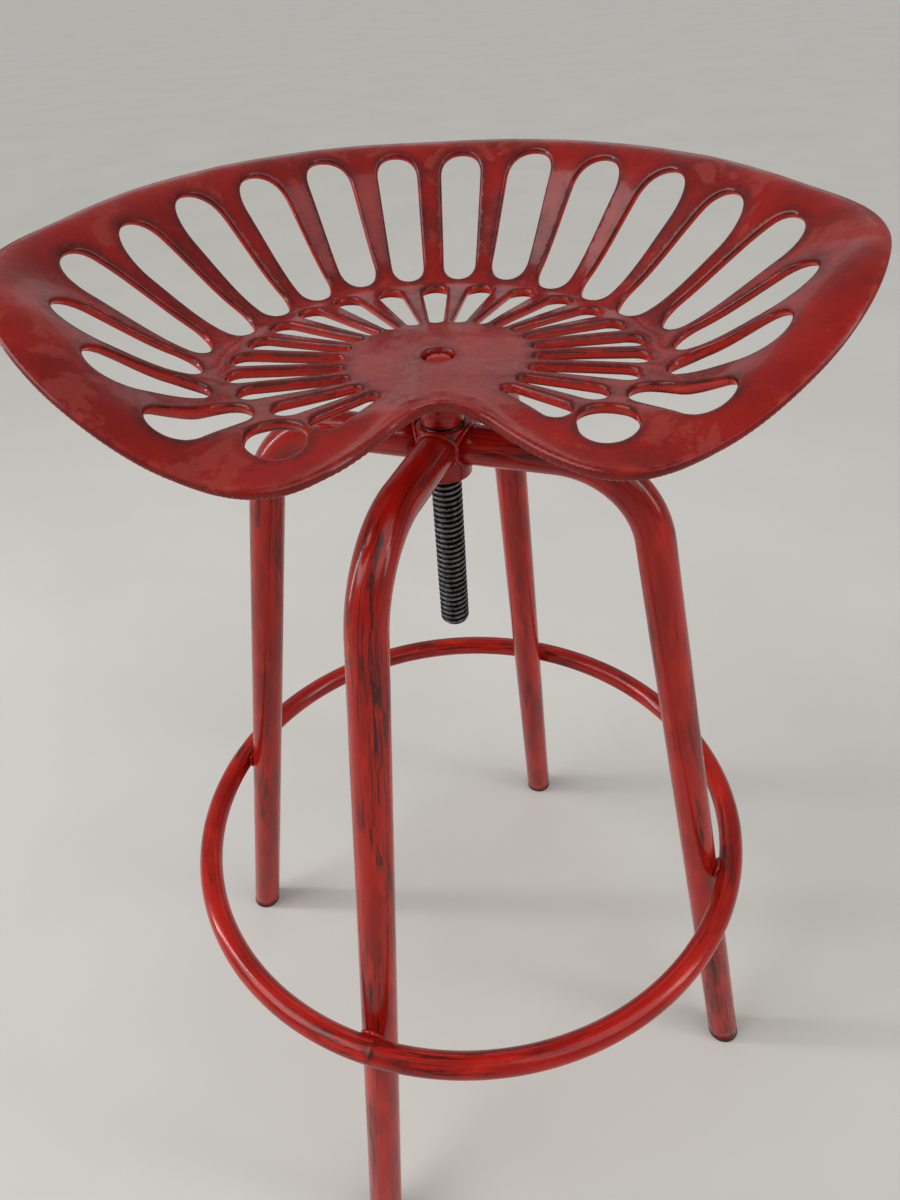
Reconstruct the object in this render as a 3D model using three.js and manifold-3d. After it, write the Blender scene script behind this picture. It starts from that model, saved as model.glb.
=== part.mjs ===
// Bar stool with a cast, slotted tractor seat, a height screw, four bent tube legs and a ring footrest.
// Millimetres, +Z up, origin on the floor under the screw's axis, the sitter faces -Y.

import * as THREE from "three";
import { ParametricGeometry } from "three/addons/geometries/ParametricGeometry.js";
import { mergeVertices } from "three/addons/utils/BufferGeometryUtils.js";
import Module from "manifold-3d";

const wasm = await Module();
wasm.setup();

// ---------------------------------------------------------------- driving dimensions

const GAP = 0.3; // between pieces that touch, weld or press together on the real stool

const SEAT_TOP = 631.4; // the flat centre disc, at the screw's lowest position
const DISC_R = 54;
const DISC_HOLE_R = 9.5;
const SEAT_T = 5.5; // casting thickness of the bowl's wall
const GRID_T = 6.5; // casting thickness of the disc and the inner ribs
const CHEEK_T = 3.2; // added in front, beside the inner slots
const GRID_R = 124; // where the deep inner ribs end
const BOWL_R = 124.4; // where the bowl's wall starts to rise
const BOWL_LEAN = 0.0143; // the bowl rises this much per mm towards the sitter's right: it is not quite true
const RIM_ROLL = -0.34; // slope of the bowl at its rim, relative to its mean slope
const RIM_STEP = 15; // degrees between the rim's stations, from the middle of the back to the pommel
const RIM_R = [222.6, 222.3, 218.8, 217.1, 217, 223.6, 241.3, 231.8, 212.3, 186, 158.1, 93.6, 88.4];
const RIM_Z = [72.8, 73.6, 74.6, 74.7, 74.3, 71.6, 66, 57, 30.2, 2.4, -6.6, 2.4, 10.4];

// The inner slots on one side, from the middle of the back forwards: angles of their two ends, and reach.
const INNER_NEAR_ANGLE = [0, 14.5, 28.9, 42.5, 56.4, 70.9, 85.6, 100.5, 116, 131, 144.5];
const INNER_FAR_ANGLE = [0, 15.4, 30.2, 44.6, 58.9, 73, 86, 98.4, 111, 127.3, 143];
const INNER_FROM = [54, 54, 54.5, 55, 56, 56, 56, 56, 57, 58, 60];
const INNER_TO = [124.2, 124.2, 124, 123.2, 121, 120, 122.5, 122, 118, 110, 106.5];
const INNER_ENDS = [4.1, 8.4]; // end radii, near the disc and away from it

// The outer slots on one side: middle and radius of the inner end, then of the outer end.
const OUTER_SLOTS = [
  [18.2, 143.8, 11, 22.4, 188.2, 13.8],
  [53.4, 137.3, 12.8, 69, 174.8, 15.2],
  [83.3, 116.4, 12.3, 110, 145.2, 16],
  [109.1, 90.2, 12.5, 143.5, 106.9, 17],
  [128.7, 58, 13.3, 168.3, 61.6, 16.6],
  [147.1, 21.9, 11.9, 193.4, 18.1, 13.9],
  [147.5, -9.2, 12, 183.9, -25.8, 16.6],
  [138.5, -40, 13, 162.5, -60, 15.5],
  [112.5, -68, 13.6, 130, -93, 14.3],
  [83, -92.8, 15, 83, -96.8, 15],
];

const SCREW_R = 10;
const SCREW_BOTTOM = 435;
const NUT_BORE_R = 10.35;
const HUB_R = 16.85;
const HUB_BORE_R = 12.6;
const HUB_BOTTOM = 554;
const HUB_TOP = 588;
const BOSS_R = 14;
const BOSS_BOTTOM = HUB_TOP + 0.8;
const BOLT_R = 5;

const LEG_R = 12.5;
const LEG_WALL = 1.5;
const LEG_TILT = THREE.MathUtils.degToRad(11.3);
const LEG_BEND = 64; // radius of the bend, to the tube's middle
const LEG_RUN_Z = 575; // middle of the run from the hub
const LEG_AZIMUTH = -21; // degrees, the leg to the sitter's left
const FOOT_RADIUS = 239; // from the stool's axis to a foot's middle
const GLIDE_T = 4;

const RING_Z = 228.8;
const RING_R = 9;
const RING_WALL = 1.2;
const VENT_R = 2.5;

// ---------------------------------------------------------------- materials

function finish(color, roughness, metalness) {
  return new THREE.MeshStandardMaterial({ color, roughness, metalness });
}

const castRed = () => finish(0x9a1512, 0.32, 0.0);
const tubeRed = () => finish(0xa11210, 0.28, 0.0);
const blackSteel = () => finish(0x1b1b1d, 0.38, 0.9);
const blackPlastic = () => finish(0x0b0b0c, 0.6, 0.0);
const zincSteel = () => finish(0x8b8d90, 0.35, 1.0);

// ---------------------------------------------------------------- joining and cutting

function solid(geometry) {
  const bare = geometry.clone();
  bare.deleteAttribute("normal");
  bare.deleteAttribute("uv");
  const merged = mergeVertices(bare, 1e-3);
  const vertProperties = new Float32Array(merged.attributes.position.array);
  const triVerts = new Uint32Array(merged.index.array);
  return new wasm.Manifold(new wasm.Mesh({ numProp: 3, vertProperties, triVerts }));
}

function toGeometry(body) {
  const mesh = body.getMesh();
  const geometry = new THREE.BufferGeometry();
  geometry.setAttribute("position", new THREE.BufferAttribute(mesh.vertProperties, 3));
  geometry.setIndex(new THREE.BufferAttribute(mesh.triVerts, 1));
  geometry.computeVertexNormals();
  return geometry;
}

function piece(name, geometry, material) {
  const mesh = new THREE.Mesh(geometry, material);
  mesh.name = name;
  return mesh;
}

// ---------------------------------------------------------------- round parts

// A solid turned about +Z from [radius, height] points, given so that it closes on itself or the axis.
function turned(points, segments) {
  const profile = points.map(([r, z]) => new THREE.Vector2(r, z));
  return new THREE.LatheGeometry(profile, segments).rotateX(Math.PI / 2);
}

function rod(radius, bottom, top, segments) {
  const height = top - bottom;
  const geometry = new THREE.CylinderGeometry(radius, radius, height, segments);
  return geometry.rotateX(Math.PI / 2).translate(0, 0, bottom + height / 2);
}

function sleeve(inner, outer, bottom, top, segments) {
  return turned([[inner, bottom], [outer, bottom], [outer, top], [inner, top], [inner, bottom]], segments);
}

// ---------------------------------------------------------------- the seat's surface

// Smooth value at an angle from the back, of stations RIM_STEP apart and mirrored on both sides.
function station(values, degrees) {
  const last = values.length - 1;
  const turn = Math.abs(THREE.MathUtils.euclideanModulo(degrees + 180, 360) - 180);
  const whole = Math.min(Math.floor(turn / RIM_STEP), last - 1);
  const t = turn / RIM_STEP - whole;
  const mirrored = (i) => values[i < 0 ? -i : i > last ? 2 * last - i : i];
  const [a, b, c, d] = [-1, 0, 1, 2].map((offset) => mirrored(whole + offset));
  const cubic = (3 * b - a - 3 * c + d) * t ** 3;
  const square = (2 * a - 5 * b + 4 * c - d) * t ** 2;
  return 0.5 * (2 * b + (c - a) * t + square + cubic);
}

const rimRadius = (degrees) => station(RIM_R, degrees);

// The wall starts at BOWL_R round the back, and close to the disc at the pommel.
function wallStart(degrees) {
  const turn = Math.abs(THREE.MathUtils.euclideanModulo(degrees + 180, 360) - 180);
  const forward = THREE.MathUtils.smoothstep(turn, 115, 180);
  return THREE.MathUtils.lerp(BOWL_R, 50, forward);
}

function bowlHeight(radius, degrees) {
  const from = wallStart(degrees);
  const s = Math.max(0, (radius - from) / (rimRadius(degrees) - from));
  const wall = station(RIM_Z, degrees) * ((3 - RIM_ROLL) * s ** 2 + (RIM_ROLL - 2) * s ** 3);
  const across = radius * Math.sin(THREE.MathUtils.degToRad(degrees));
  return wall - BOWL_LEAN * across * THREE.MathUtils.smoothstep(radius, 56, 125);
}

function seatPoint(radius, degrees) {
  const angle = THREE.MathUtils.degToRad(degrees);
  const height = bowlHeight(radius, degrees);
  const across = radius * Math.sin(angle) + BOWL_LEAN * height;
  return new THREE.Vector3(across, radius * Math.cos(angle), SEAT_TOP + height);
}

function seatNormal(radius, degrees) {
  const outward = seatPoint(radius + 0.5, degrees).sub(seatPoint(radius - 0.5, degrees));
  const around = seatPoint(radius, degrees + 0.5).sub(seatPoint(radius, degrees - 0.5));
  return outward.cross(around).normalize().negate();
}

function thickness(radius, degrees) {
  const { smoothstep } = THREE.MathUtils;
  const turn = Math.abs(THREE.MathUtils.euclideanModulo(degrees + 180, 360) - 180);
  const beside = smoothstep(turn, 85, 108) * (1 - smoothstep(turn, 135, 160));
  const cheek = beside * (1 - smoothstep(radius, 138, 180));
  return THREE.MathUtils.lerp(GRID_T, SEAT_T + CHEEK_T * cheek, smoothstep(radius, GRID_R, 142));
}

// The casting without its holes: a loop of [fraction of the rim's radius, depth] carried round the seat.
function seatBlank() {
  const WALL_STEPS = 6;
  const RIM_STEPS = 3;
  const AROUND = 72;
  const stations = (degrees) => {
    const from = wallStart(degrees);
    const to = rimRadius(degrees) - SEAT_T / 2;
    const wall = Array.from({ length: WALL_STEPS }, (_, i) => from + ((to - from) * (i + 1)) / WALL_STEPS);
    return [DISC_HOLE_R, Math.min(DISC_R, from - 4), from, ...wall];
  };
  const count = stations(0).length;
  const loop = 2 * count + RIM_STEPS;
  return new ParametricGeometry((u, v, target) => {
    const degrees = (Math.round(v * AROUND) % AROUND) * (360 / AROUND);
    const step = (loop - Math.round(u * loop)) % loop;
    const radii = stations(degrees);
    const edge = radii[count - 1];
    if (step >= count && step < count + RIM_STEPS) {
      const middle = seatPoint(edge, degrees).addScaledVector(seatNormal(edge, degrees), -SEAT_T / 2);
      const outward = seatPoint(edge + 0.5, degrees).sub(seatPoint(edge - 0.5, degrees)).normalize();
      const turn = (Math.PI * (step - count + 1)) / (RIM_STEPS + 1);
      middle.addScaledVector(outward, (SEAT_T / 2) * Math.sin(turn));
      target.copy(middle.addScaledVector(seatNormal(edge, degrees), (SEAT_T / 2) * Math.cos(turn)));
      return;
    }
    const below = step >= count;
    const radius = radii[below ? loop - 1 - step : step];
    target.copy(seatPoint(radius, degrees));
    if (!below) return;
    const down = radius < GRID_R ? new THREE.Vector3(0, 0, 1) : seatNormal(radius, degrees);
    target.addScaledVector(down, -thickness(radius, degrees));
  }, loop, AROUND);
}

// A slot cutter: a tapered outline with round ends, from point a to point b, right through the casting.
function slotCutter(a, b, ends, arcSteps) {
  const along = b.clone().sub(a);
  const heading = along.angle();
  const spread = Math.acos((ends[0] - ends[1]) / along.length());
  const outline = new THREE.Shape();
  outline.absarc(a.x, a.y, ends[0], heading + spread, heading - spread + 2 * Math.PI, false);
  outline.absarc(b.x, b.y, ends[1], heading - spread, heading + spread, false);
  const options = { depth: 220, bevelEnabled: false, curveSegments: arcSteps };
  return new THREE.ExtrudeGeometry(outline, options).translate(0, 0, SEAT_TOP - 100);
}

function polar(radius, degrees) {
  const angle = THREE.MathUtils.degToRad(degrees);
  return new THREE.Vector2(radius * Math.sin(angle), radius * Math.cos(angle));
}

function seatCutters() {
  const cutters = [];
  for (const side of [-1, 1]) {
    INNER_FROM.forEach((from, index) => {
      if (side < 0 && index === 0) return;
      const near = polar(from + INNER_ENDS[0], side * INNER_NEAR_ANGLE[index]);
      const far = polar(INNER_TO[index] - INNER_ENDS[1], side * INNER_FAR_ANGLE[index]);
      cutters.push(slotCutter(near, far, INNER_ENDS, 5));
    });
    for (const [nearX, nearY, nearR, farX, farY, farR] of OUTER_SLOTS) {
      const near = new THREE.Vector2(side * nearX, nearY);
      const far = new THREE.Vector2(side * farX, farY);
      cutters.push(slotCutter(near, far, [nearR, farR], 6));
    }
  }
  return cutters;
}

function seat() {
  let body = solid(seatBlank());
  for (const cutter of seatCutters()) body = body.subtract(solid(cutter));
  return piece("seat", toGeometry(body), castRed());
}

// ---------------------------------------------------------------- under the seat

const GRID_BOTTOM = SEAT_TOP - GRID_T;
const BOSS_TOP = GRID_BOTTOM - GAP;
const SCREW_TOP = BOSS_TOP - 6;
const WASHER_TOP = BOSS_TOP + 1.5;

function seatBoss() {
  const profile = [
    [BOLT_R + GAP, BOSS_TOP],
    [BOLT_R + GAP, SCREW_TOP + GAP],
    [SCREW_R + GAP, SCREW_TOP + GAP],
    [SCREW_R + GAP, BOSS_BOTTOM],
    [BOSS_R, BOSS_BOTTOM],
    [BOSS_R, BOSS_TOP],
    [BOLT_R + GAP, BOSS_TOP],
  ];
  return piece("seat_boss", turned(profile, 32), castRed());
}

// A fin that runs from low on the boss up to the underside of the disc.
function gusset(name, degrees) {
  const FIN_T = 5;
  const FIN_REACH = 48;
  const FIN_DROP = 21;
  const inner = BOSS_R + GAP;
  const outline = new THREE.Shape();
  outline.moveTo(inner, 0);
  outline.lineTo(FIN_REACH, 0);
  outline.lineTo(FIN_REACH, -4);
  outline.quadraticCurveTo(inner + 8, -5, inner, -FIN_DROP);
  const fin = new THREE.ExtrudeGeometry(outline, { depth: FIN_T, bevelEnabled: false, curveSegments: 5 });
  fin.rotateX(Math.PI / 2).translate(0, FIN_T / 2, 0);
  const mesh = piece(name, fin, castRed());
  mesh.rotation.z = THREE.MathUtils.degToRad(degrees);
  mesh.position.z = BOSS_TOP;
  return mesh;
}

function seatWasher() {
  return piece("seat_washer", sleeve(BOLT_R + GAP, 8.8, BOSS_TOP + GAP, WASHER_TOP, 24), zincSteel());
}

// A dome-headed screw, sunk in the disc's hole, that pulls the seat down on the spindle.
function seatBolt() {
  const head = WASHER_TOP + GAP;
  const shank = BOLT_R - GAP;
  const profile = [[0, SCREW_TOP - 22], [shank - 1, SCREW_TOP - 22], [shank, SCREW_TOP - 21], [shank, head]];
  profile.push([8.2, head], [8.2, head + 1.2], [7, head + 2.7], [4.6, head + 3.8], [0, head + 4.3]);
  return piece("seat_bolt", turned(profile, 24), castRed());
}

// The height screw: a plain rod at the thread's outside radius, with a rounded foot and a tapped top.
function spindle() {
  const FOOT = 5;
  const foot = [0, 30, 60, 90].map((degrees) => {
    const angle = THREE.MathUtils.degToRad(degrees);
    return [SCREW_R - FOOT + FOOT * Math.sin(angle), SCREW_BOTTOM + FOOT - FOOT * Math.cos(angle)];
  });
  const profile = [[0, SCREW_BOTTOM], ...foot, [SCREW_R, SCREW_TOP - 1], [SCREW_R - 1, SCREW_TOP]];
  profile.push([BOLT_R, SCREW_TOP], [BOLT_R, SCREW_TOP - 24], [0, SCREW_TOP - 26]);
  return piece("spindle", turned(profile, 32), blackSteel());
}

// ---------------------------------------------------------------- base

function hubSleeve() {
  return piece("hub_sleeve", sleeve(HUB_BORE_R, HUB_R, HUB_BOTTOM, HUB_TOP, 40), tubeRed());
}

function hubNut() {
  const outer = HUB_BORE_R - GAP;
  return piece("hub_nut", sleeve(NUT_BORE_R, outer, HUB_BOTTOM + 0.5, HUB_TOP - 0.5, 40), zincSteel());
}

const legRadiusAt = (z) => FOOT_RADIUS - z * Math.tan(LEG_TILT);

// The middle of a leg's tube in its own upright plane: run, bend, then the sloping leg.
class LegPath extends THREE.Curve {
  static STEPS = 10;

  constructor(startX, footZ) {
    super();
    this.startX = startX;
    const turn = Math.PI / 2 - LEG_TILT;
    const tangent = LEG_BEND * Math.tan(turn / 2);
    this.turn = turn;
    this.bendX = legRadiusAt(LEG_RUN_Z) - tangent;
    this.footZ = footZ;
  }

  getPoint(t, target = new THREE.Vector3()) {
    const bendSteps = LegPath.STEPS - 2;
    const step = t * LegPath.STEPS;
    if (step < 0.5) return target.set(this.startX, 0, LEG_RUN_Z);
    if (step > LegPath.STEPS - 0.5) return target.set(legRadiusAt(this.footZ), 0, this.footZ);
    const angle = (this.turn * (step - 1)) / bendSteps;
    const x = this.bendX + LEG_BEND * Math.sin(angle);
    return target.set(x, 0, LEG_RUN_Z - LEG_BEND * (1 - Math.cos(angle)));
  }

  getTangent(t, target = new THREE.Vector3()) {
    const bendSteps = LegPath.STEPS - 2;
    const angle = this.turn * THREE.MathUtils.clamp((t * LegPath.STEPS - 1) / bendSteps, 0, 1);
    return target.set(Math.cos(angle), 0, -Math.sin(angle));
  }

  getPointAt(t, target) {
    return this.getPoint(t, target);
  }

  getTangentAt(t, target) {
    return this.getTangent(t, target);
  }
}

function circleShape(radius, segments) {
  const points = Array.from({ length: segments }, (_, i) => {
    const angle = (2 * Math.PI * (i + 0.5)) / segments;
    return new THREE.Vector2(radius * Math.cos(angle), radius * Math.sin(angle));
  });
  return new THREE.Shape(points);
}

function sweep(radius, path, segments) {
  const shape = circleShape(radius, segments);
  return new THREE.ExtrudeGeometry(shape, { steps: LegPath.STEPS, extrudePath: path, bevelEnabled: false });
}

// Each leg is notched to the hub and sawn level above its glide.
function legGeometry() {
  const outside = solid(sweep(LEG_R, new LegPath(LEG_R + GAP, -20), 20));
  const inside = solid(sweep(LEG_R - LEG_WALL, new LegPath(0, -40), 16));
  const hubNotch = solid(rod(HUB_R + GAP, HUB_BOTTOM - 60, HUB_TOP + 60, 40));
  const floorCut = solid(new THREE.BoxGeometry(120, 120, 100).translate(FOOT_RADIUS, 0, GLIDE_T - 50));
  return toGeometry(outside.subtract(inside).subtract(hubNotch).subtract(floorCut));
}

// A plug inside the tube and a level pad that the tube stands on.
function glideGeometry() {
  const lean = (body, height) => body.translate(0, 0, height).rotateY(-LEG_TILT).translate(FOOT_RADIUS, 0, 0);
  const plug = solid(lean(rod(LEG_R - LEG_WALL - GAP, 0, 26, 20), -4));
  const level = solid(new THREE.BoxGeometry(60, 60, 30).translate(FOOT_RADIUS, 0, -15));
  const top = GLIDE_T - GAP;
  const pad = turned([[0, 0], [LEG_R, 0], [LEG_R + 0.4, 1], [LEG_R + 0.4, top], [0, top]], 24);
  const flange = solid(pad.translate(legRadiusAt(GLIDE_T / 2), 0, 0));
  return toGeometry(plug.subtract(level).add(flange));
}

function ringRadius() {
  const reach = (LEG_R + RING_R + GAP + 0.15) / Math.cos(LEG_TILT);
  return legRadiusAt(RING_Z) + reach;
}

// One bent tube, with a vent hole on its underside.
function footrestRing() {
  const AROUND = 48;
  const radius = ringRadius();
  const outside = solid(new THREE.TorusGeometry(radius, RING_R, 12, AROUND));
  const inside = solid(new THREE.TorusGeometry(radius, RING_R - RING_WALL, 8, AROUND));
  const vent = solid(rod(VENT_R, -RING_R - 1, 0, 10).translate(radius, 0, 0).rotateZ(Math.PI / 4));
  const mesh = piece("footrest_ring", toGeometry(outside.subtract(inside).subtract(vent)), tubeRed());
  mesh.position.z = RING_Z;
  mesh.rotation.z = THREE.MathUtils.degToRad(LEG_AZIMUTH);
  return mesh;
}

// ---------------------------------------------------------------- assembly

const stool = new THREE.Group();

const seatAssembly = new THREE.Group();
seatAssembly.add(seat(), seatBoss(), seatWasher(), seatBolt(), spindle());
["back_left", "back_right", "front_right", "front_left"].forEach((place, index) => {
  seatAssembly.add(gusset("seat_gusset_" + place, 45 + 90 * index));
});

const base = new THREE.Group();
base.add(hubSleeve(), hubNut(), footrestRing());
["left", "back", "right", "front"].forEach((side, index) => {
  const leg = piece("leg_" + side, legGeometry(), tubeRed());
  const glide = piece("foot_glide_" + side, glideGeometry(), blackPlastic());
  const arm = new THREE.Group();
  arm.add(leg, glide);
  arm.rotation.z = THREE.MathUtils.degToRad(LEG_AZIMUTH + 90 * index);
  base.add(arm);
});

stool.add(seatAssembly, base);

export default stool;
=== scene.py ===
"""Bar stool: cast tractor seat on a height screw, four bent tube legs, ring footrest.

Shapes are worked out in millimetres, +Z up, with the sitter facing -Y.
They are turned into metres as the meshes are made.
"""

import math

import bpy
import numpy as np
from mathutils import Matrix, Vector
from mathutils.geometry import delaunay_2d_cdt


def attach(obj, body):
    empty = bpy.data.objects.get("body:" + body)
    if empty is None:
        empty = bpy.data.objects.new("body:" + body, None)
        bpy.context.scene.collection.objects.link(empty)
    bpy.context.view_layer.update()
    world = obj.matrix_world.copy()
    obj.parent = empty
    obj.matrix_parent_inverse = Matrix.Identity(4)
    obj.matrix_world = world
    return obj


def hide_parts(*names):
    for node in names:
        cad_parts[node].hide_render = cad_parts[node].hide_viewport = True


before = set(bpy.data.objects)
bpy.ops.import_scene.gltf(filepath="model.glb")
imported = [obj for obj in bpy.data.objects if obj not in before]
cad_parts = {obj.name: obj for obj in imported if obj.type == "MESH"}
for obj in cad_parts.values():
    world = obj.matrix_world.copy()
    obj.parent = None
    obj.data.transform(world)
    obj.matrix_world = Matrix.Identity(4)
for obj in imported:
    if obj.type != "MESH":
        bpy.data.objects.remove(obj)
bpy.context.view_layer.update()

MM = 0.001
TAU = 2 * math.pi


# ---------------------------------------------------------------- meshes


def piece(name, verts, faces, body, material, nodes=(), attributes=None):
    mesh = bpy.data.meshes.new(name)
    mesh.from_pydata((np.asarray(verts, float) * MM).tolist(), [], faces)
    for key, values in (attributes or {}).items():
        values = np.asarray(values, float)
        kind = "FLOAT_VECTOR" if values.ndim == 2 else "FLOAT"
        layer = mesh.attributes.new(key, kind, "POINT")
        layer.data.foreach_set("vector" if values.ndim == 2 else "value", values.ravel())
    mesh.polygons.foreach_set("use_smooth", [True] * len(mesh.polygons))
    mesh.materials.append(material)
    mesh.update()
    obj = bpy.data.objects.new(name, mesh)
    bpy.context.scene.collection.objects.link(obj)
    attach(obj, body)
    if nodes:
        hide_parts(*nodes)
    return obj


def lattice(rows, columns, close_rows=False):
    """Quads of a grid whose columns close on themselves, and whose rows do too if asked."""
    faces = []
    for i in range(rows if close_rows else rows - 1):
        a, b = i * columns, ((i + 1) % rows) * columns
        for j in range(columns):
            k = (j + 1) % columns
            faces.append((a + j, a + k, b + k, b + j))
    return faces


def capped(rows, columns):
    """A grid closed at both ends with one face each."""
    faces = lattice(rows, columns)
    last = (rows - 1) * columns
    faces.append(tuple(reversed(range(columns))))
    faces.append(tuple(range(last, last + columns)))
    return faces


def softened(points, radius, steps=4, closed=True):
    """The corners of a profile replaced by short curves."""
    out = []
    count = len(points)
    for i, p in enumerate(points):
        p = np.array(p, float)
        if not closed and i in (0, count - 1):
            out.append(p)
            continue
        a = np.array(points[i - 1], float) - p
        b = np.array(points[(i + 1) % count], float) - p
        la, lb = np.linalg.norm(a), np.linalg.norm(b)
        cut = min(radius, 0.48 * la, 0.48 * lb)
        start, end = p + a / la * cut, p + b / lb * cut
        for t in np.linspace(0, 1, steps + 1):
            out.append((1 - t) ** 2 * start + 2 * t * (1 - t) * p + t * t * end)
    return out


def turned(profile, segments, closed=True):
    """A profile of (radius, height) turned about the Z axis.

    The profile runs counter-clockwise, seen with +radius to the right.
    """
    profile = np.array(profile)
    angle = TAU * np.arange(segments) / segments
    r, z = profile[:, :1], profile[:, 1:]
    verts = np.stack([r * np.cos(angle), r * np.sin(angle), z + 0 * angle], -1)
    if closed:
        return verts.reshape(-1, 3), lattice(len(profile), segments, True)
    return verts.reshape(-1, 3), capped(len(profile), segments)


def spun(points, degrees):
    a = math.radians(degrees)
    turn = np.array([[math.cos(a), -math.sin(a), 0], [math.sin(a), math.cos(a), 0], [0, 0, 1]])
    return np.asarray(points) @ turn.T


def smoothstep(x, low, high):
    t = np.clip((np.asarray(x, float) - low) / (high - low), 0, 1)
    return t * t * (3 - 2 * t)


def ripple(points, wavelength, seed):
    """Smooth uneven values, about -1 to 1, over points in millimetres."""
    local = np.random.default_rng(seed)
    total = 0
    for _ in range(9):
        direction = local.normal(size=3)
        direction /= np.linalg.norm(direction)
        length = wavelength * local.uniform(0.7, 1.6)
        total = total + np.sin(points @ direction * TAU / length + local.uniform(0, TAU))
    return total / 4


# ---------------------------------------------------------------- materials


class Shader:
    """Short names for building a node material."""

    def __init__(self, name):
        self.material = bpy.data.materials.new(name)
        self.material.use_nodes = True
        self.tree = self.material.node_tree
        self.tree.nodes.clear()
        self.out = self.tree.nodes.new("ShaderNodeOutputMaterial")
        self.bsdf = self.tree.nodes.new("ShaderNodeBsdfPrincipled")
        self.link(self.bsdf.outputs[0], self.out.inputs["Surface"])

    def link(self, a, b):
        self.tree.links.new(a, b)

    def put(self, value, socket):
        if isinstance(value, bpy.types.NodeSocket):
            self.link(value, socket)
        else:
            socket.default_value = value

    def node(self, kind, **props):
        n = self.tree.nodes.new(kind)
        for key, value in props.items():
            setattr(n, key, value)
        return n

    def place(self):
        return self.node("ShaderNodeTexCoord").outputs["Object"]

    def attribute(self, name, output="Fac"):
        return self.node("ShaderNodeAttribute", attribute_name=name).outputs[output]

    def scaled(self, vector, scale):
        n = self.node("ShaderNodeMapping")
        self.link(vector, n.inputs["Vector"])
        n.inputs["Scale"].default_value = scale
        return n.outputs[0]

    def noise(self, vector, scale, detail=4, roughness=0.55, distortion=0.0):
        n = self.node("ShaderNodeTexNoise")
        self.link(vector, n.inputs["Vector"])
        n.inputs["Scale"].default_value = scale
        n.inputs["Detail"].default_value = detail
        n.inputs["Roughness"].default_value = roughness
        n.inputs["Distortion"].default_value = distortion
        return n.outputs["Fac"]

    def band(self, value, low, high, to_low=0.0, to_high=1.0):
        n = self.node("ShaderNodeMapRange", interpolation_type="SMOOTHSTEP")
        self.put(value, n.inputs["Value"])
        n.inputs["From Min"].default_value = low
        n.inputs["From Max"].default_value = high
        n.inputs["To Min"].default_value = to_low
        n.inputs["To Max"].default_value = to_high
        return n.outputs["Result"]

    def math(self, operation, a, b=0.0, clamp=False):
        n = self.node("ShaderNodeMath", operation=operation, use_clamp=clamp)
        self.put(a, n.inputs[0])
        self.put(b, n.inputs[1])
        return n.outputs[0]

    def times(self, a, b):
        return self.math("MULTIPLY", a, b)

    def plus(self, a, b):
        return self.math("ADD", a, b)

    def larger(self, a, b, clamp=False):
        return self.math("MAXIMUM", a, b, clamp)

    def distance_from(self, point, vector):
        n = self.node("ShaderNodeVectorMath", operation="DISTANCE")
        self.link(vector, n.inputs[0])
        n.inputs[1].default_value = point
        return n.outputs["Value"]

    def mix(self, fac, a, b):
        n = self.node("ShaderNodeMix", data_type="RGBA")
        self.put(fac, n.inputs[0])
        self.put(a, n.inputs[6])
        self.put(b, n.inputs[7])
        return n.outputs[2]

    def bump(self, height, strength, distance):
        n = self.node("ShaderNodeBump")
        self.link(height, n.inputs["Height"])
        n.inputs["Strength"].default_value = strength
        n.inputs["Distance"].default_value = distance
        self.link(n.outputs[0], self.bsdf.inputs["Normal"])

    def set(self, name, value):
        self.put(value, self.bsdf.inputs[name])


RED = (0.30, 0.0085, 0.0060, 1)
DEEP_RED = (0.19, 0.0055, 0.0045, 1)
WARM_RED = (0.38, 0.014, 0.0085, 1)
DARK_PATINA_AND_SHADE = (0.020, 0.0065, 0.0055, 1)
PALE_WEAR_AND_HIGHLIGHT = (0.50, 0.060, 0.040, 1)
CHALKY_RED_AND_SHEEN = (0.34, 0.050, 0.036, 1)
BRIGHT_RED = (0.44, 0.0105, 0.0055, 1)
MID_RED = (0.29, 0.0075, 0.0045, 1)
ORANGE_RED = (0.54, 0.020, 0.0085, 1)


def gloss(s, roughness):
    s.set("Roughness", roughness)
    s.set("Coat Weight", 0.30)
    s.set("Coat Roughness", 0.07)
    s.set("Specular IOR Level", 0.20)


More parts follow.
